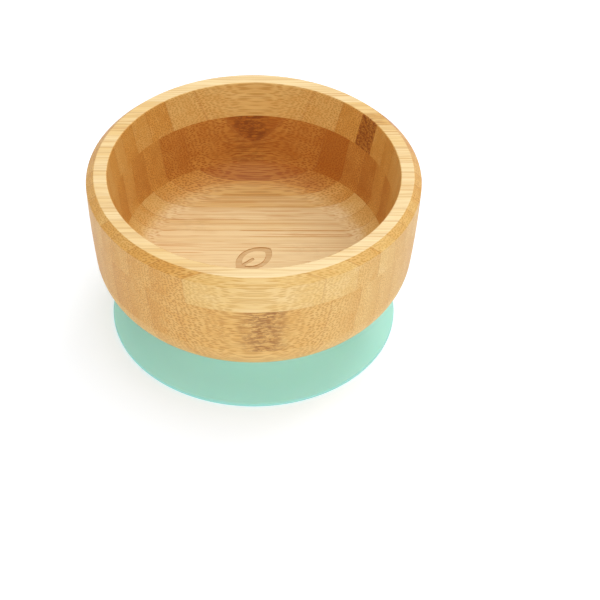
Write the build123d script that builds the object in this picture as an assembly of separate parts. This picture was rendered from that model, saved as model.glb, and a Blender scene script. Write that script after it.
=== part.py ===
"""A bamboo feeding bowl on a silicone suction base. Millimetres, +Z up.

The origin is the centre of the suction base, on the table that the bowl stands on. The bowl is turned from
three bamboo boards glued one on top of the other. A turned foot under it plugs into a socket in the silicone
base, whose wide thin skirt seals on the table. The bowl's axis is Z, the bamboo fibres run along X, and the
release tab is at +Y, the back.
"""

import math
import os

from build123d import *

# The bowl's outside
RIM_HEIGHT = 70.0  # top of the rim above the table
BOWL_RADIUS = 63.5  # widest point, at the foot of the rim's chamfer
CHAMFER = 2.9  # the rim's outer edge is cut off at 45 degrees
WALL_MID = (62.65, 51.0)  # radius and height of a point on the slightly bulged wall
WALL_BOTTOM = (61.1, 34.0)  # where the wall starts to curl under
CURL_MIDDLE = (54.1, 22.0)  # where the tight curl opens into the flatter underside
CURL_END = (36.0, 14.5)  # where the underside becomes flat
EDGE_ROUND = 0.5  # sanded edges of the rim

# The bowl's inside
RIM_INNER = (55.5, 70.0)  # radius and height of the rim's inner edge
INNER_MID = (53.4, 55.2)
INNER_LOW = (51.8, 40.0)  # below this the wall runs straight into the floor's fillet
FLOOR_HEIGHT = 26.0  # eating surface above the table
FLOOR_FILLET = 13.5

# Glue joints between the three boards
LOWER_JOINT = 34.0
UPPER_JOINT = 55.2

# The foot turned under the floor board, and the groove round it
FOOT_RADIUS = 30.0
FOOT_BOTTOM = 8.8
FOOT_CHAMFER = 0.6
GROOVE_HEIGHT = 11.6  # middle of the groove above the table
GROOVE_DEPTH = 0.95
GROOVE_MOUTH = 1.8
GROOVE_FLOOR = 0.9

# The leaf outline engraved in the bowl's floor
LEAF_LENGTH = 18.0
LEAF_WIDTH = 11.5
LEAF_STROKE = 2.0
LEAF_TURN = -48.0  # degrees about Z, so that its tip points to the back right
TIP_STROKE = 3.2  # along the leaf's length, where its two sides meet
VEIN_WIDTH = 1.5
STALK_LENGTH = 3.0
ENGRAVING_DEPTH = 0.35

# The silicone base
SKIRT_RADIUS = 55.7
SKIRT_EDGE = 1.3  # thickness of the skirt's outer edge
SEAL_INNER_RADIUS = 51.2  # the flat sealing ring runs from here to the edge
SKIRT_RISE = 8.0  # degrees, slope of the skirt's top where it leaves the edge
SEAL_RISE = 25.0  # degrees, slope of its underside where it leaves the sealing ring
HUB_NECK = (37.0, 12.0)  # where the flare becomes the hub's upright wall
HUB_TOP = 14.2
HUB_UNDERSIDE = 7.0  # flat underside of the closed floor, and the level that splits skirt from hub
HUB_UNDERSIDE_RADIUS = 40.3
SOCKET_CLEARANCE = 0.1
SILICONE_ROUND = 0.5

# The soft lip in the socket
LIP_REACH = 0.8
LIP_ROOT = 1.5
LIP_NOSE = 0.6

# The release tab at the back of the skirt
TAB_START = 56.0  # 0.3 mm clear of the skirt's edge, where the real moulding is continuous
TAB_END = 63.2
TAB_WIDTH = 20.0
TAB_BOTTOM = 0.5
TAB_THICKNESS = 1.3
TAB_CORNER = 5.0
TAB_ROUND = 0.4
RIB_COUNT = 3
RIB_PITCH = 1.6
RIB_OFFSET = 0.8  # the ribs sit this much nearer the tab's outer end
RIB_LENGTH = 9.0
RIB_WIDTH = 0.7
RIB_HEIGHT = 0.35

WIDE = 200.0  # larger than the whole object
TOUCH = 0.01  # positions closer than this are the same


def slope(degrees):
    """Direction, in the profile plane, of a line that rises towards the axis."""
    return (-math.cos(math.radians(degrees)), math.sin(math.radians(degrees)))


def turned(outline):
    """Solid of revolution about Z of a closed outline of (radius, height) curves."""
    profile = Plane.XZ * make_face(outline)
    return revolve(profile, Axis.Z)


def circles(shape):
    """The round edges of a turned shape."""
    return shape.edges().filter_by(GeomType.CIRCLE)


def between(shape, low, high):
    """The slice of a shape between two heights."""
    return shape & Pos(0, 0, (low + high) / 2) * Box(WIDE, WIDE, high - low)


def leaf_engraving():
    """A leaf outline with a stalk, as the solid that is cut from the floor."""

    def leaf(length, width):
        tips = (0, -length / 2), (0, length / 2)
        left = ThreePointArc(tips[0], (-width / 2, 0), tips[1])
        right = ThreePointArc(tips[1], (width / 2, 0), tips[0])
        return make_face(left + right)

    hollow = leaf(LEAF_LENGTH - 2 * TIP_STROKE, LEAF_WIDTH - 2 * LEAF_STROKE)
    outline = leaf(LEAF_LENGTH, LEAF_WIDTH) - hollow
    vein_length = LEAF_LENGTH / 2 + STALK_LENGTH
    vein = Pos(0, -vein_length / 2) * SlotOverall(vein_length, VEIN_WIDTH, rotation=90)
    engraving = extrude(outline + vein, 2 * ENGRAVING_DEPTH)
    return Pos(0, 0, FLOOR_HEIGHT - ENGRAVING_DEPTH) * Rot(0, 0, LEAF_TURN) * engraving


def bamboo_bowl():
    """The whole turned bowl with its foot, before it is divided into its boards."""
    shoulder = (BOWL_RADIUS, RIM_HEIGHT - CHAMFER)
    wall = ThreePointArc(shoulder, WALL_MID, WALL_BOTTOM)
    curl = TangentArc(WALL_BOTTOM, CURL_MIDDLE, tangent=wall % 1)
    underside = TangentArc(CURL_MIDDLE, CURL_END, tangent=curl % 1)
    inside = ThreePointArc(INNER_LOW, INNER_MID, RIM_INNER)
    inside_fall = inside % 0
    corner_radius = INNER_LOW[0] - (INNER_LOW[1] - FLOOR_HEIGHT) * inside_fall.X / inside_fall.Y
    foot = Polyline(
        CURL_END,
        (FOOT_RADIUS, CURL_END[1]),
        (FOOT_RADIUS, GROOVE_HEIGHT + GROOVE_MOUTH / 2),
        (FOOT_RADIUS - GROOVE_DEPTH, GROOVE_HEIGHT + GROOVE_FLOOR / 2),
        (FOOT_RADIUS - GROOVE_DEPTH, GROOVE_HEIGHT - GROOVE_FLOOR / 2),
        (FOOT_RADIUS, GROOVE_HEIGHT - GROOVE_MOUTH / 2),
        (FOOT_RADIUS, FOOT_BOTTOM + FOOT_CHAMFER),
        (FOOT_RADIUS - FOOT_CHAMFER, FOOT_BOTTOM),
        (0, FOOT_BOTTOM),
        (0, FLOOR_HEIGHT),
        (corner_radius, FLOOR_HEIGHT),
        INNER_LOW,
    )
    rim = Polyline(RIM_INNER, (BOWL_RADIUS - CHAMFER, RIM_HEIGHT), shoulder)
    bowl = turned(wall + curl + underside + foot + inside + rim)

    corner = circles(bowl).filter_by(lambda e: abs(e.radius - corner_radius) < TOUCH)
    bowl = fillet(corner, FLOOR_FILLET)
    rim_edges = circles(bowl).filter_by(lambda e: e.center().Z > shoulder[1] - TOUCH)
    bowl = fillet(rim_edges, EDGE_ROUND)
    return bowl - leaf_engraving()


def silicone_moulding():
    """Skirt and hub as the one moulding they are, before it is divided where it flexes."""
    edge_top = (SKIRT_RADIUS, SKIRT_EDGE)
    seal_inner = (SEAL_INNER_RADIUS, 0)
    underside_end = (HUB_UNDERSIDE_RADIUS, HUB_UNDERSIDE)
    socket_radius = FOOT_RADIUS + SOCKET_CLEARANCE
    flare = TangentArc(edge_top, HUB_NECK, tangent=slope(SKIRT_RISE))
    hub = Polyline(
        HUB_NECK,
        (HUB_NECK[0], HUB_TOP),
        (socket_radius, HUB_TOP),
        (socket_radius, FOOT_BOTTOM),
        (0, FOOT_BOTTOM),
        (0, HUB_UNDERSIDE),
        underside_end,
    )
    underside = TangentArc(seal_inner, underside_end, tangent=slope(SEAL_RISE))
    seal = Polyline(seal_inner, (SKIRT_RADIUS, 0), edge_top)
    moulding = turned(flare + hub + underside + seal)
    skirt_edge = circles(moulding).filter_by(lambda e: abs(e.center().Z - SKIRT_EDGE) < TOUCH)
    hub_edges = circles(moulding).filter_by(lambda e: e.center().Z > HUB_TOP - TOUCH)
    return fillet(skirt_edge + hub_edges, SILICONE_ROUND)


def socket_lip():
    """The ring inside the socket that snaps into the foot's groove."""
    root = FOOT_RADIUS + SOCKET_CLEARANCE
    nose = root - LIP_REACH
    corners = [
        (root, GROOVE_HEIGHT - LIP_ROOT / 2),
        (nose, GROOVE_HEIGHT - LIP_NOSE / 2),
        (nose, GROOVE_HEIGHT + LIP_NOSE / 2),
        (root, GROOVE_HEIGHT + LIP_ROOT / 2),
    ]
    return turned(Polyline(*corners, close=True))


def release_tab():
    """A thin rounded tab with grip ribs across its top."""
    length = TAB_END - TAB_START
    middle = (TAB_START + TAB_END) / 2
    plate = Pos(0, middle, TAB_BOTTOM) * extrude(Rectangle(TAB_WIDTH, length), TAB_THICKNESS)
    outer_corners = plate.edges().filter_by(Axis.Z).group_by(Axis.Y)[-1]
    plate = fillet(outer_corners, TAB_CORNER)
    top_edges = plate.edges().group_by(Axis.Z)[-1]
    plate = fillet(top_edges.filter_by(lambda e: e.center().Y > TAB_START + TOUCH), TAB_ROUND)
    top = TAB_BOTTOM + TAB_THICKNESS
    for i in range(RIB_COUNT):
        y = middle + RIB_OFFSET + (i - (RIB_COUNT - 1) / 2) * RIB_PITCH
        rib = extrude(SlotOverall(RIB_LENGTH, RIB_WIDTH), 2 * RIB_HEIGHT)
        plate += Pos(0, y, top - RIB_HEIGHT) * rib
    return plate


def parts():
    """Every piece, by the name of its node."""
    bowl = bamboo_bowl()
    moulding = silicone_moulding()
    return {
        "rim_board": between(bowl, UPPER_JOINT, WIDE),
        "wall_board": between(bowl, LOWER_JOINT, UPPER_JOINT),
        "floor_board": between(bowl, 0, LOWER_JOINT),
        "base_hub": between(moulding, HUB_UNDERSIDE, WIDE),
        "suction_skirt": between(moulding, -WIDE, HUB_UNDERSIDE),
        "socket_lip": socket_lip(),
        "release_tab": release_tab(),
    }


os.makedirs("parts", exist_ok=True)
for name, shape in parts().items():
    export_step(shape, f"parts/{name}.step")
    print(f"{name}: {len(shape.solids())} solid, {shape.volume:.0f} mm3")
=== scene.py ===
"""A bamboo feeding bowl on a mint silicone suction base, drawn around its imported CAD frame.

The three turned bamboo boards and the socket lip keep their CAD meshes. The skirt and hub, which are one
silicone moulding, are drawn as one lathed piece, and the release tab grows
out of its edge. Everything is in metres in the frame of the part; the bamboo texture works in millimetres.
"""

import math
from collections import namedtuple

import bpy
from mathutils import Matrix, Vector


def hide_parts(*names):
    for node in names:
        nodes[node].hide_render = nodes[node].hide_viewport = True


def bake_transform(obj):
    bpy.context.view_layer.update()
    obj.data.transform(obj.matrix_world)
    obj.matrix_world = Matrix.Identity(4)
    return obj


MM = 0.001

# The camera, at the viewing angle of the photograph
CAMERA_PLACE = (0.0003, -0.6467, 0.5931)
CAMERA_TURN = -1.6  # degrees about Z
CAMERA_TILT = 47.688
CAMERA_ROLL = 1.221
CAMERA_LENS = 132.0

# Silicone moulding, millimetres. The same profile as the CAD, with finer steps.
SKIRT_RADIUS = 55.7
SKIRT_EDGE = 1.3
SEAL_INNER_RADIUS = 51.2
SKIRT_RISE = 8.0
SEAL_RISE = 25.0
HUB_NECK = (37.0, 12.0)
HUB_TOP = 14.2
HUB_UNDERSIDE = 7.0
HUB_UNDERSIDE_RADIUS = 40.3
SOCKET_RADIUS = 30.1
SOCKET_FLOOR = 8.8
SILICONE_ROUND = 0.5
SEAL_FLAT = 2.0
SEAL_ROUND = 0.25
SOCKET_FLOOR_ROUND = 0.15
FLARE_STEPS = 36
UNDERSIDE_STEPS = 24
FLAT_STEPS = 12
SOCKET_STEPS = 10
LATHE_SEGMENTS = 256

# Release tab, millimetres. It starts inside the skirt's edge and grows out of it.
TAB_ROOT = 53.4
TAB_END = 63.2
TAB_HALF_WIDTH = 10.0
TAB_CORNER = 5.0
TAB_BOTTOM = 0.5
TAB_THICKNESS = 1.3
TAB_FLARE = 3.0
TAB_FLARE_END = 56.4
TAB_TOP_ROUND = (0.5, 0.45)  # width and height of the round along its upper edge
TAB_BOTTOM_ROUND = (0.3, 0.25)
TAB_ROWS = 110
TAB_COLUMNS = 96
RIB_LINES = (58.0, 59.6, 61.2)
RIB_HALF_LENGTH = 4.5
RIB_HALF_WIDTH = 0.45
RIB_HEIGHT = 0.35

# A board is cut from strips glued side by side, listed from front to back. Each has a tone at its left end
# and at its right end, from 0 pale to 1 brown, and a side that was the culm's skin, where its fibres are
# dense: 1 for the back of the strip and 0 for the front. A culm node may cross it, given by the strip's
# number, its place along the strip in millimetres and its strength.
Board = namedtuple("Board", "first_joint pitch strips nodes")
FIRST_STRIP = -10
STRIP_COUNT = 20
RIM_STRIPS = [
    (0.30, 0.24, 1), (0.30, 0.22, 1), (0.52, 0.22, 1), (0.46, 0.36, 1), (0.42, 0.26, 1),
    (0.44, 0.34, 1), (0.38, 0.32, 1), (0.42, 0.30, 1), (0.38, 0.40, 1), (0.40, 0.36, 1),
    (0.36, 0.34, 1), (0.46, 0.40, 1), (0.40, 0.50, 1), (0.52, 0.46, 1), (0.44, 0.72, 1),
    (0.52, 0.54, 1), (0.34, 0.40, 1), (0.36, 0.36, 0), (0.40, 0.40, 1), (0.40, 0.40, 1),
]  # fmt: skip
WALL_STRIPS = [
    (0.42, 0.38, 1), (0.48, 0.42, 0), (0.50, 0.38, 1), (0.47, 0.32, 1), (0.50, 0.34, 1),
    (0.44, 0.32, 1), (0.44, 0.36, 1), (0.52, 0.40, 1), (0.40, 0.36, 1), (0.52, 0.48, 1),
    (0.42, 0.46, 1), (0.56, 0.62, 1), (0.44, 0.54, 1), (0.62, 0.72, 1), (0.58, 0.70, 1),
    (0.76, 0.98, 1), (0.78, 0.86, 1), (1.00, 1.00, 0), (0.66, 0.60, 1), (0.60, 0.60, 1),
]  # fmt: skip
FLOOR_STRIPS = [
    (0.46, 0.40, 1), (0.44, 0.38, 1), (0.42, 0.34, 1), (0.34, 0.28, 1), (0.36, 0.30, 1),
    (0.32, 0.24, 1), (0.30, 0.20, 1), (0.34, 0.24, 1), (0.24, 0.14, 1), (0.28, 0.18, 1),
    (0.16, 0.08, 1), (0.30, 0.22, 0), (0.38, 0.32, 1), (0.30, 0.26, 1), (0.50, 0.50, 0),
    (0.60, 0.74, 1), (0.84, 0.95, 1), (0.92, 0.92, 1), (0.60, 0.60, 1), (0.50, 0.50, 1),
]  # fmt: skip
RIM_NODES = {4: (43, 1.0)}
WALL_NODES = {7: (-2, 1.0), -9: (4, 0.8), 6: (-2, 0.45), -1: (58, 0.3)}
FLOOR_NODES = {2: (-24, 0.30), 0: (21, 0.22), 7: (2, 0.3), -8: (2, 0.3)}
BOARDS = {
    "rim_board": Board(-0.3, 7.2, RIM_STRIPS, RIM_NODES),
    "wall_board": Board(1.66, 7.206, WALL_STRIPS, WALL_NODES),
    "floor_board": Board(2.2, 7.2, FLOOR_STRIPS, FLOOR_NODES),
}
NODE_SPAN = 200.0  # places from -100 to 100 mm are stored as 0 to 1
TONE_CHANGE_END = 45.0  # the left tone holds to the left of -45 mm, and the right tone to the right of 45 mm

# Where the tone or the dots change on the shape, in millimetres
CHAMFER_BOTTOM = 67.0
CHAMFER_INNER_RADIUS = 60.3
ENGRAVED_BELOW = 25.9
ENGRAVED_ABOVE = 25.5
ENGRAVED_WITHIN = 48.0
FLOOR_TOP = 28.0
RIM_LOW = 45.0

# Lengths of the bamboo's features along X, Y and Z, and the spacing of its fibre bundles, in millimetres
STREAK_SIZE = (60, 0.35, 0.35)
BAND_SIZE = (90, 2.0, 3.5)
PATCH_SIZE = (14, 6, 9)
LINE_SIZE = (110, 0.55, 0.55)
MOTTLE_SIZE = (3.2, 1.0, 1.0)
PIN_SIZE = (1.1, 1.5, 1.5)
WOBBLE_SIZE = (9, 4, 7)
SPARSE_SPACING = 0.74
DENSE_SPACING = 0.57

# How much each thing changes a strip's tone
BAND_TONE = 0.22
PATCH_TONE = 0.16
STREAK_TONE = 0.30
SKIN_TONE = 0.04
END_GRAIN_TONE = 0.15
# Upward faces are paler: partly the paler grain of their cut, partly painted light from above
FLAT_GRAIN_AND_PAINTED_LIGHT_TONE = 0.29
CHAMFER_TONE = 0.06

# Bamboo colours by tone, and how strongly the others cover them
TONE_COLOURS = (
    (0.0, (0.885, 0.69, 0.38)),
    (0.35, (0.78, 0.51, 0.18)),
    (0.65, (0.69, 0.35, 0.075)),
    (1.0, (0.48, 0.165, 0.020)),
)
DOT_COLOURS = ((0.25, (0.56, 0.29, 0.055)), (0.75, (0.36, 0.095, 0.010)))
LINE_COLOUR = (0.58, 0.23, 0.035)
BURNT_COLOUR = (0.215, 0.052, 0.007)
BURNT_COVER = 0.84
PIN_COLOUR = (0.07, 0.020, 0.006)
PIN_COVER = 0.85
GLUE_COLOUR = (0.42, 0.15, 0.03)
GLUE_COVER = 0.18
ENGRAVED_COLOUR = (0.50, 0.25, 0.075)
ENGRAVED_COVER = 0.46

# Silicone colours
MINT_COLOURS = ((0.3, (0.440, 0.895, 0.825)), (0.7, (0.470, 0.915, 0.850)))
MINT_GRAIN_COLOUR = (0.39, 0.80, 0.72)
MINT_DUST_COLOUR = (0.66, 0.86, 0.78)
# Painted shade for the skirt's thin outer edge
MINT_EDGE_PAINTED_SHADE_COLOUR = (0.25, 0.60, 0.52)

# Studio: each area light's place, target and size in metres, and its power in watts
LIGHTS = {
    "top": ((0.1, 0.0, 1.3), (0, 0, 0), 1.5, 7.0),
    "key": ((0.62, 0.78, 1.05), (0, 0, 0.03), 0.9, 5.5),
    "fill": ((0.15, -1.15, 0.65), (0, 0, 0.03), 0.9, 3.7),
}
WORLD_STRENGTH = 0.60
FLOOR_SIZE = 12
FLOOR_COLOURS = ((0.3, (0.900, 0.930, 0.975)), (0.7, (0.905, 0.935, 0.98)))
FLOOR_GLOW = (0.86, 0.94, 1, 1)
FLOOR_GLOW_STRENGTH = 0.235


class Graph:
    """One material's nodes. Inputs may be numbers, tuples or the outputs of other nodes."""

    def __init__(self, name):
        self.material = bpy.data.materials.new(name)
        self.material.use_nodes = True
        self.tree = self.material.node_tree
        self.tree.nodes.clear()
        output = self.tree.nodes.new("ShaderNodeOutputMaterial")
        self.shader = self.tree.nodes.new("ShaderNodeBsdfPrincipled")
        self.tree.links.new(self.shader.outputs[0], output.inputs["Surface"])

    def feed(self, socket, value):
        if isinstance(value, bpy.types.NodeSocket):
            self.tree.links.new(value, socket)
        else:
            socket.default_value = value

    def node(self, kind, **settings):
        made = self.tree.nodes.new(kind)
        for name, value in settings.items():
            setattr(made, name, value)
        return made

    def math(self, operation, *values, clamp=False):
        made = self.node("ShaderNodeMath", operation=operation, use_clamp=clamp)
        for socket, value in zip(made.inputs, values):
            self.feed(socket, value)
        return made.outputs[0]

    def add(self, a, b):
        return self.math("ADD", a, b)

    def subtract(self, a, b):
        return self.math("SUBTRACT", a, b)

    def times(self, a, b):
        return self.math("MULTIPLY", a, b)

    def position(self):
        """The point's place in the part's frame, in millimetres."""
        coordinates = self.node("ShaderNodeTexCoord").outputs["Object"]
        scaled = self.node("ShaderNodeVectorMath", operation="SCALE")
        self.feed(scaled.inputs[0], coordinates)
        scaled.inputs["Scale"].default_value = 1 / MM
        split = self.node("ShaderNodeSeparateXYZ")
        self.feed(split.inputs[0], scaled.outputs[0])
        return split.outputs

    def vector(self, x, y, z):
        made = self.node("ShaderNodeCombineXYZ")
        for socket, value in zip(made.inputs, (x, y, z)):
            self.feed(socket, value)
        return made.outputs[0]

    def stretched(self, place, lengths, offset=0.0):
        """The place divided by a length along each axis, so that a texture of size 1 has those lengths."""
        parts = [self.times(p, 1 / length) for p, length in zip(place, lengths)]
        return self.vector(self.add(parts[0], offset), parts[1], parts[2])

    def noise(self, place, lengths, offset=0.0, detail=2.0, roughness=0.5):
        """Soft noise from 0 to 1 with features of those lengths in millimetres."""
        made = self.node("ShaderNodeTexNoise", noise_dimensions="3D")
        self.feed(made.inputs["Vector"], self.stretched(place, lengths, offset))
        made.inputs["Scale"].default_value = 1.0
        made.inputs["Detail"].default_value = detail
        made.inputs["Roughness"].default_value = roughness
        return made.outputs[0]

    def swing(self, place, lengths, size, offset=0.0, detail=2.0):
        """Noise from about -size to size."""
        return self.times(self.subtract(self.noise(place, lengths, offset, detail), 0.5), 2 * size)

    def soft_step(self, value, low, high, start=0.0, end=1.0):
        made = self.node("ShaderNodeMapRange", interpolation_type="SMOOTHSTEP")
        for socket, given in zip(made.inputs, (value, low, high, start, end)):
            self.feed(socket, given)
        return made.outputs[0]

    def blend(self, share, a, b):
        """A number that goes from a to b as share goes from 0 to 1."""
        return self.add(self.times(a, self.subtract(1.0, share)), self.times(b, share))

    def from_axis(self, x, y):
        """Distance from the bowl's axis."""
        return self.math("SQRT", self.add(self.times(x, x), self.times(y, y)))

    def facing(self):
        """How far the surface faces along the fibres, and how far it faces up, each from 0 to 1."""
        split = self.node("ShaderNodeSeparateXYZ")
        self.feed(split.inputs[0], self.node("ShaderNodeTexCoord").outputs["Normal"])
        sideways = self.math("ABSOLUTE", split.outputs[0])
        return sideways, self.math("MAXIMUM", split.outputs[2], 0.0)

    def lookup(self, strip, rows):
        """A strip's row of up to three numbers from 0 to 1, as three outputs."""
        middle = self.times(self.add(strip, 0.5 - FIRST_STRIP), 1 / STRIP_COUNT)
        made = self.node("ShaderNodeValToRGB")
        made.color_ramp.interpolation = "CONSTANT"
        elements = made.color_ramp.elements
        elements.remove(elements[1])
        for i, row in enumerate(rows):
            element = elements[0] if i == 0 else elements.new(i / STRIP_COUNT)
            element.color = (*row, 1)
        self.feed(made.inputs[0], middle)
        split = self.node("ShaderNodeSeparateColor")
        self.feed(split.inputs[0], made.outputs[0])
        return split.outputs

    def ramp(self, value, *stops):
        """Colour by value. Each stop is (position, (r, g, b))."""
        made = self.node("ShaderNodeValToRGB")
        elements = made.color_ramp.elements
        elements.remove(elements[1])
        for i, (at, colour) in enumerate(stops):
            element = elements[0] if i == 0 else elements.new(at)
            element.position = at
            element.color = (*colour, 1)
        self.feed(made.inputs[0], value)
        return made.outputs[0]

    def mix(self, factor, a, b):
        made = self.node("ShaderNodeMix", data_type="RGBA")
        self.feed(made.inputs["Factor"], factor)
        for socket, value in ((made.inputs[6], a), (made.inputs[7], b)):
            self.feed(socket, value if isinstance(value, bpy.types.NodeSocket) else (*value, 1))
        return made.outputs[2]

    def bump(self, height, strength, distance):
        made = self.node("ShaderNodeBump")
        made.inputs["Strength"].default_value = strength
        made.inputs["Distance"].default_value = distance * MM
        self.feed(made.inputs["Height"], height)
        self.feed(self.shader.inputs["Normal"], made.outputs[0])

    def finish(self, colour, **values):
        self.feed(self.shader.inputs["Base Color"], colour)
        for name, value in values.items():
            self.shader.inputs[name.replace("_", " ")].default_value = value
        return self.material


def bundles(g, across_fibres, spacing, small, large, offset):
    """Dots where fibre bundles cut the surface: 1 inside a bundle, 0 outside."""
    y, z = across_fibres
    made = g.node("ShaderNodeTexVoronoi", voronoi_dimensions="2D", feature="F1")
    place = g.vector(g.add(g.times(y, 1 / spacing), offset), g.times(z, 1 / spacing), 0.0)
    g.feed(made.inputs["Vector"], place)
    made.inputs["Scale"].default_value = 1.0
    made.inputs["Randomness"].default_value = 0.7
    return g.soft_step(made.outputs["Distance"], small, large, 1.0, 0.0)


def strip_at(g, x, y, board):
    """The strip's number, the share of its width, its tone and how close the culm's skin was."""
    place = g.times(g.subtract(y, board.first_joint), 1 / board.pitch)
    strip = g.math("FLOOR", place)
    across = g.math("FRACT", place)
    left_tone, right_tone, skin_side = g.lookup(strip, board.strips)
    rightness = g.soft_step(x, -TONE_CHANGE_END, TONE_CHANGE_END)
    tone = g.blend(rightness, left_tone, right_tone)
    skinward = g.soft_step(g.blend(skin_side, g.subtract(1.0, across), across), 0.3, 0.97)
    return strip, across, tone, skinward


def culm_node(g, point, strip, upward, board, seed):
    """The distance along the strip to its culm node, and that node's strength."""
    rows = [board.nodes.get(FIRST_STRIP + i, (0, 0)) for i in range(STRIP_COUNT)]
    stored = [(at / NODE_SPAN + 0.5, strength, 0) for at, strength in rows]
    node_place, strength, _ = g.lookup(strip, stored)
    node_x = g.times(g.subtract(node_place, 0.5), NODE_SPAN)
    wobble = g.swing(point, WOBBLE_SIZE, 4.0, seed + 3)
    distance = g.math("ABSOLUTE", g.subtract(g.add(point[0], wobble), node_x))
    return distance, g.times(strength, g.soft_step(upward, 0.6, 0.95, 1.0, 0.35))


def wavy_fibres(g, point, strip, round_node, seed):
    """Y and Z moved by the fibres' slow waves, which are stronger round a node."""
    x, y, z = point
    shifted = (g.add(x, g.times(strip, 17.3)), y, z)
    waviness = g.add(1.0, g.times(round_node, 2.2))
    slow_sway = g.swing(shifted, (22, 8, 9), 0.45, seed, 1.0)
    quick_sway = g.swing(shifted, (6, 3, 3), 0.09, seed + 5, 1.0)
    slow_rise = g.swing(shifted, (24, 8, 9), 0.5, seed + 8, 1.0)
    quick_rise = g.swing(shifted, (7, 3, 3), 0.12, seed + 11, 1.0)
    sway = g.add(slow_sway, quick_sway)
    rise = g.add(slow_rise, quick_rise)
    return g.add(y, g.times(sway, waviness)), g.add(z, g.times(rise, waviness))


def engraving(g, z, from_axis):
    """1 on the floor of the engraved leaf, and 0 everywhere else."""
    shallow = g.soft_step(z, ENGRAVED_BELOW - 0.1, ENGRAVED_BELOW, 1.0, 0.0)
    deep = g.soft_step(z, ENGRAVED_ABOVE - 0.1, ENGRAVED_ABOVE)
    inside = g.soft_step(from_axis, ENGRAVED_WITHIN, ENGRAVED_WITHIN + 1, 1.0, 0.0)
    return g.times(g.times(shallow, deep), inside)


def bamboo(name, board):
    """Bamboo laminated from strips, with its fibres along X, as a solid texture of the whole board."""
    g = Graph("bamboo_" + name)
    x, y, z = g.position()
    seed = 10.0 * len(name)
    end_grain, upward = g.facing()
    flat = g.soft_step(upward, 0.75, 0.98)
    from_axis = g.from_axis(x, y)
    strip, across, strip_tone, skinward = strip_at(g, x, y, board)

    from_node, node_strength = culm_node(g, (x, y, z), strip, upward, board, seed)
    near_node = g.times(g.soft_step(from_node, 2.0, 11.5, 1.0, 0.0), node_strength)
    round_node = g.times(g.soft_step(from_node, 3.0, 26.0, 1.0, 0.0), node_strength)
    at_node = g.times(g.soft_step(from_node, 2.0, 5.0, 1.0, 0.0), node_strength)

    fibre = wavy_fibres(g, (x, y, z), strip, round_node, seed)
    sparse = bundles(g, fibre, SPARSE_SPACING, 0.18, 0.44, seed)
    dense = bundles(g, fibre, DENSE_SPACING, 0.22, 0.48, seed + 40)
    dots = g.blend(skinward, sparse, dense)

    streaks = g.noise((x, *fibre), STREAK_SIZE, seed + 20, 3.0, 0.65)
    bands = g.noise((x, *fibre), BAND_SIZE, seed + 30, 1.0)
    patches = g.noise((x, y, z), PATCH_SIZE, seed + 50, 2.0)
    rim_edge = g.soft_step(z, CHAMFER_BOTTOM, CHAMFER_BOTTOM + 0.3)
    outside = g.soft_step(from_axis, CHAMFER_INNER_RADIUS, CHAMFER_INNER_RADIUS + 0.4)
    chamfer_ends = g.times(g.times(rim_edge, outside), g.soft_step(end_grain, 0.02, 0.2))
    tone = g.add(strip_tone, g.times(g.subtract(bands, 0.5), BAND_TONE))
    tone = g.add(tone, g.times(g.subtract(patches, 0.5), PATCH_TONE))
    tone = g.add(tone, g.times(g.subtract(streaks, 0.5), STREAK_TONE))
    tone = g.add(tone, g.times(skinward, SKIN_TONE))
    tone = g.add(tone, g.times(end_grain, END_GRAIN_TONE))
    # Upward faces made paler: partly their grain, partly painted light from above
    tone = g.subtract(tone, g.times(flat, FLAT_GRAIN_AND_PAINTED_LIGHT_TONE))
    tone = g.add(tone, g.times(chamfer_ends, CHAMFER_TONE))
    colour = g.ramp(tone, *TONE_COLOURS)

    dot_cover = g.soft_step(strip_tone, 0.05, 0.5, 0.48, 0.80)
    dot_cover = g.times(dot_cover, g.subtract(1.0, g.times(flat, 0.5)))
    colour = g.mix(g.times(dots, dot_cover), colour, g.ramp(strip_tone, *DOT_COLOURS))

    lines = g.soft_step(g.noise((x, *fibre), LINE_SIZE, seed + 70, 1.0), 0.58, 0.70)
    flat_cover = g.soft_step(z, FLOOR_TOP, RIM_LOW, 0.50, 0.20)
    line_cover = g.add(0.16, g.times(flat, flat_cover))
    colour = g.mix(g.times(lines, line_cover), colour, LINE_COLOUR)

    mottle = g.noise((x, *fibre), MOTTLE_SIZE, seed + 60, 3.0, 0.75)
    burnt = g.times(near_node, g.soft_step(mottle, 0.42, 0.58, 0.12, 1.0))
    colour = g.mix(g.times(burnt, BURNT_COVER), colour, BURNT_COLOUR)
    pins = g.soft_step(g.noise((x, *fibre), PIN_SIZE, seed + 95), 0.70, 0.75)
    colour = g.mix(g.times(g.times(pins, at_node), PIN_COVER), colour, PIN_COLOUR)

    joint = g.math("MINIMUM", across, g.subtract(1.0, across))
    slanted = g.times(upward, g.subtract(1.0, upward))
    glue = g.soft_step(joint, 0.008, 0.035, GLUE_COVER, 0.0)
    colour = g.mix(g.times(glue, g.add(1.0, g.times(slanted, 5.0))), colour, GLUE_COLOUR)
    colour = g.mix(g.times(engraving(g, z, from_axis), ENGRAVED_COVER), colour, ENGRAVED_COLOUR)
    g.bump(g.add(g.times(dots, -0.7), streaks), 0.25, 0.06)
    return g.finish(colour, Roughness=0.46, Specular_IOR_Level=0.30)


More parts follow.
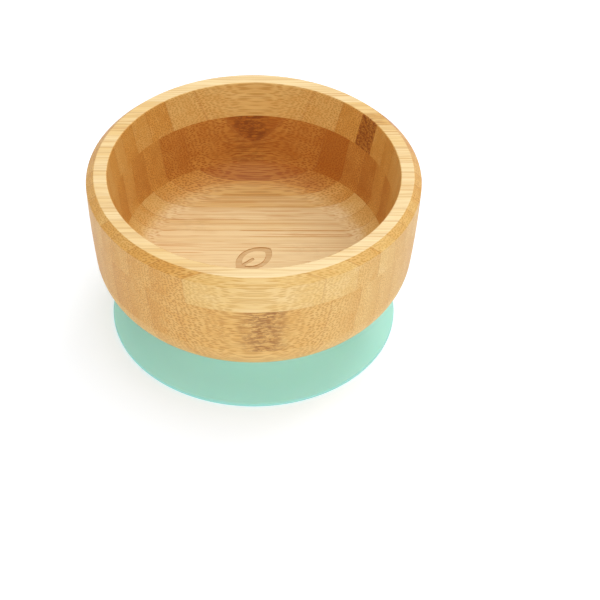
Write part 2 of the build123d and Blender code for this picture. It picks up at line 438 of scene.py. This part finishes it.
def silicone():
    """Matt mint silicone, cloudy and a little dusty, with a fine moulding texture and painted shade on its
    thin outer edge.
    """
    g = Graph("mint_silicone")
    x, y, z = place = g.position()
    clouds = g.noise(place, (22, 22, 10), 4.0, 2.0)
    grain = g.noise(place, (0.5, 0.5, 0.5), 9.0, 3.0)
    dust = g.soft_step(g.noise(place, (1.6, 1.6, 1.6), 15.0, 4.0, 0.75), 0.62, 0.82)
    # Painted shade: darker mint along the skirt's thin outer edge, in place of shade on the lip
    edge_painted_shade = g.soft_step(g.from_axis(x, y), SKIRT_RADIUS - 0.5, SKIRT_RADIUS - 0.1)
    edge_painted_shade = g.times(edge_painted_shade, g.soft_step(z, SKIRT_EDGE - 0.1, SKIRT_EDGE + 0.2, 1.0, 0.0))
    colour = g.ramp(clouds, *MINT_COLOURS)
    colour = g.mix(g.times(grain, 0.10), colour, MINT_GRAIN_COLOUR)
    colour = g.mix(g.times(dust, 0.16), colour, MINT_DUST_COLOUR)
    colour = g.mix(g.times(edge_painted_shade, 0.55), colour, MINT_EDGE_PAINTED_SHADE_COLOUR)
    g.bump(grain, 0.12, 0.03)
    return g.finish(
        colour, Roughness=0.52, Specular_IOR_Level=0.38, Subsurface_Weight=0.12, Subsurface_Scale=0.004
    )


def floor_material():
    g = Graph("pale_floor")
    clouds = g.noise(g.position(), (60, 60, 60), 0.0)
    colour = g.ramp(clouds, *FLOOR_COLOURS)
    g.shader.inputs["Emission Color"].default_value = FLOOR_GLOW
    return g.finish(colour, Roughness=0.8, Specular_IOR_Level=0.1, Emission_Strength=FLOOR_GLOW_STRENGTH)


def slope(degrees):
    """The direction that goes inwards and rises by an angle."""
    return Vector((-math.cos(math.radians(degrees)), math.sin(math.radians(degrees))))


def tangent_arc(start, end, direction, steps):
    """Points of the arc that leaves start in a direction and reaches end."""
    start, end = Vector(start), Vector(end)
    direction = direction.normalized()
    normal = Vector((-direction.y, direction.x))
    chord = end - start
    radius = chord.length_squared / (2 * chord.dot(normal))
    centre = start + normal * radius
    turn = 2 * math.asin(chord.length / (2 * abs(radius))) * (1 if radius > 0 else -1)
    arm = start - centre
    return [centre + Matrix.Rotation(turn * i / steps, 2) @ arm for i in range(steps + 1)]


def rounded(corner, before, after, radius, steps=5):
    """Points of a small round in place of a corner."""
    corner = Vector(corner)
    back = (Vector(before) - corner).normalized()
    ahead = (Vector(after) - corner).normalized()
    half = back.angle(ahead) / 2
    reach = radius / math.tan(half)
    start = corner + back * reach
    end = corner + ahead * reach
    centre = corner + (back + ahead).normalized() * radius / math.sin(half)
    points = []
    for i in range(steps + 1):
        arm = (start - centre).lerp(end - centre, i / steps)
        points.append(centre + arm.normalized() * radius)
    return points


def run(start, end, steps):
    """Evenly spaced points of a straight line."""
    start, end = Vector(start), Vector(end)
    return [start.lerp(end, i / steps) for i in range(steps + 1)]


def mesh_object(name, vertices, faces, material):
    mesh = bpy.data.meshes.new(name)
    mesh.from_pydata([Vector(v) * MM for v in vertices], [], faces)
    mesh.validate()
    mesh.shade_smooth()
    made = bpy.data.objects.new(name, mesh)
    bpy.context.scene.collection.objects.link(made)
    mesh.materials.append(material)
    return made


def lathe(name, outline, material):
    """A closed turned solid from (radius, height) points that start and end on the axis."""
    first, *rings, last = outline
    vertices = [(0, 0, first[1]), (0, 0, last[1])]
    for radius, height in rings:
        for k in range(LATHE_SEGMENTS):
            turn = 2 * math.pi * k / LATHE_SEGMENTS
            vertices.append((radius * math.cos(turn), radius * math.sin(turn), height))
    faces = []
    for k in range(LATHE_SEGMENTS):
        following = (k + 1) % LATHE_SEGMENTS
        faces.append((0, 2 + k, 2 + following))
        for i in range(len(rings) - 1):
            low = 2 + i * LATHE_SEGMENTS
            high = low + LATHE_SEGMENTS
            faces.append((low + k, high + k, high + following, low + following))
        top = 2 + (len(rings) - 1) * LATHE_SEGMENTS
        faces.append((1, top + following, top + k))
    return mesh_object(name, vertices, faces, material)


def suction_base(material):
    """Skirt and hub in one piece: the sealing ring, the flare, the open socket and the closed floor."""
    seal_inner = (SEAL_INNER_RADIUS, 0)
    underside_end = (HUB_UNDERSIDE_RADIUS, HUB_UNDERSIDE)
    edge_low = (SKIRT_RADIUS, 0)
    edge_top = (SKIRT_RADIUS, SKIRT_EDGE)
    flare = tangent_arc(edge_top, HUB_NECK, slope(SKIRT_RISE), FLARE_STEPS)
    hub_outer = (HUB_NECK[0], HUB_TOP)
    socket_mouth = (SOCKET_RADIUS, HUB_TOP)
    outline = run((0, HUB_UNDERSIDE), underside_end, FLAT_STEPS)
    outline += tangent_arc(seal_inner, underside_end, slope(SEAL_RISE), UNDERSIDE_STEPS)[-2:0:-1]
    outline += [Vector(seal_inner), Vector((SKIRT_RADIUS - SEAL_FLAT, 0))]
    outline += rounded(edge_low, seal_inner, edge_top, SEAL_ROUND)
    outline += rounded(edge_top, edge_low, flare[1], SILICONE_ROUND, 6)
    outline += flare[1:]
    outline += rounded(hub_outer, HUB_NECK, socket_mouth, SILICONE_ROUND)
    outline += rounded(socket_mouth, hub_outer, (SOCKET_RADIUS, SOCKET_FLOOR), SILICONE_ROUND)
    outline += rounded((SOCKET_RADIUS, SOCKET_FLOOR), socket_mouth, (0, SOCKET_FLOOR), SOCKET_FLOOR_ROUND)
    outline += run((SOCKET_RADIUS - 1, SOCKET_FLOOR), (0, SOCKET_FLOOR), SOCKET_STEPS)
    return lathe("suction_base", outline, material)


def tab_half_width(y):
    """Half the tab's width: flared at the skirt, then straight, then rounded at its outer corners."""
    root = max(0.0, 1 - (y - TAB_ROOT) / (TAB_FLARE_END - TAB_ROOT))
    into_corner = max(0.0, y - (TAB_END - TAB_CORNER)) / TAB_CORNER
    corner = TAB_CORNER * (1 - math.sqrt(max(0.0, 1 - into_corner**2)))
    return TAB_HALF_WIDTH + TAB_FLARE * root**2 - corner


def from_outline(x, y, half, width):
    """How far a point is inside the tab's outline, from 0 on it to 1 at a width from it or deeper."""
    return min(1.0, max(0.0, min(half - abs(x), TAB_END - y) / width))


def tab_top(x, y, half):
    """Height of the tab's upper side: rounded down at its outline and raised in ribs."""
    round_width, round_height = TAB_TOP_ROUND
    edge = from_outline(x, y, half, round_width)
    height = TAB_BOTTOM + TAB_THICKNESS - round_height * (1 - math.sqrt(max(0.0, 1 - (1 - edge) ** 2)))
    for line in RIB_LINES:
        off = math.hypot(max(0.0, abs(x) - RIB_HALF_LENGTH), y - line) / RIB_HALF_WIDTH
        if off < 1:
            height += RIB_HEIGHT * (1 - off**2) ** 0.5
    return height


def tab_bottom(x, y, half):
    """Height of the tab's underside, which turns up at its outline."""
    round_width, round_height = TAB_BOTTOM_ROUND
    edge = from_outline(x, y, half, round_width)
    return TAB_BOTTOM + round_height * (1 - edge) ** 2


def release_tab(material):
    """The thin tab with its grip ribs, as two sheets joined round their edge."""
    rows, columns = TAB_ROWS, TAB_COLUMNS
    vertices = []
    for surface in (tab_top, tab_bottom):
        for i in range(rows + 1):
            y = TAB_ROOT + (TAB_END - TAB_ROOT) * math.sin(math.pi / 2 * i / rows)
            half = tab_half_width(y)
            for j in range(columns + 1):
                x = half * math.sin(math.pi / 2 * (2 * j / columns - 1))
                vertices.append((x, y, surface(x, y, half)))
    width = columns + 1
    sheet = width * (rows + 1)
    faces = []
    for i in range(rows):
        for j in range(columns):
            a = i * width + j
            faces.append((a, a + 1, a + width + 1, a + width))
            faces.append((sheet + a, sheet + a + width, sheet + a + width + 1, sheet + a + 1))
    border = list(range(columns))
    border += [i * width + columns for i in range(rows)]
    border += [rows * width + j for j in range(columns, 0, -1)]
    border += [i * width for i in range(rows, 0, -1)]
    for a, b in zip(border, border[1:] + border[:1]):
        faces.append((a, sheet + a, sheet + b, b))
    return mesh_object("tab", vertices, faces, material)


def main_floor():
    bpy.ops.mesh.primitive_plane_add(size=FLOOR_SIZE, location=(0, 0, 0))
    floor = bpy.context.object
    floor.name = "floor"
    floor.data.materials.append(floor_material())


def area_light(name, place, target, size, power):
    light = bpy.data.lights.new(name, "AREA")
    light.shape = "SQUARE"
    light.size = size
    light.energy = power
    made = bpy.data.objects.new(name, light)
    made.location = place
    made.rotation_euler = (Vector(target) - Vector(place)).to_track_quat("-Z", "Y").to_euler()
    bpy.context.scene.collection.objects.link(made)


def studio():
    scene = bpy.context.scene
    scene.view_settings.view_transform = "Standard"
    world = bpy.data.worlds.new("studio")
    world.use_nodes = True
    background = world.node_tree.nodes["Background"]
    background.inputs["Color"].default_value = (1.0, 1.0, 1.0, 1)
    background.inputs["Strength"].default_value = WORLD_STRENGTH
    scene.world = world
    for name, (place, target, size, power) in LIGHTS.items():
        area_light(name, place, target, size, power)


def camera():
    data = bpy.data.cameras.new("camera")
    data.lens = CAMERA_LENS
    data.sensor_width = 36
    data.clip_start = 0.01
    made = bpy.data.objects.new("camera", data)
    turn = Matrix.Rotation(math.radians(CAMERA_TURN), 4, "Z")
    tilt = Matrix.Rotation(math.radians(CAMERA_TILT), 4, "X")
    roll = Matrix.Rotation(math.radians(CAMERA_ROLL), 4, "Z")
    made.matrix_world = Matrix.Translation(CAMERA_PLACE) @ turn @ tilt @ roll
    bpy.context.scene.collection.objects.link(made)
    bpy.context.scene.camera = made


def give(piece, material):
    piece.data.materials.clear()
    piece.data.materials.append(material)


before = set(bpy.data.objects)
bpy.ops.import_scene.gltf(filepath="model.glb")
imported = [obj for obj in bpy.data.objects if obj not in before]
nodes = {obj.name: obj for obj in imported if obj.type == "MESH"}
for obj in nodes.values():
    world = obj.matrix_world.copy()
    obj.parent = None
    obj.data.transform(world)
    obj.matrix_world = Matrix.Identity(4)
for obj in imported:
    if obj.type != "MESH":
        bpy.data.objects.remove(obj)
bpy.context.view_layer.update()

for board_name, board in BOARDS.items():
    give(nodes[board_name], bamboo(board_name, board))

mint = silicone()
give(nodes["socket_lip"], mint)

base = suction_base(mint)
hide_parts("suction_skirt", "base_hub")
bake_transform(base)

tab = release_tab(mint)
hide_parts("release_tab")
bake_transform(tab)

main_floor()
studio()
camera()
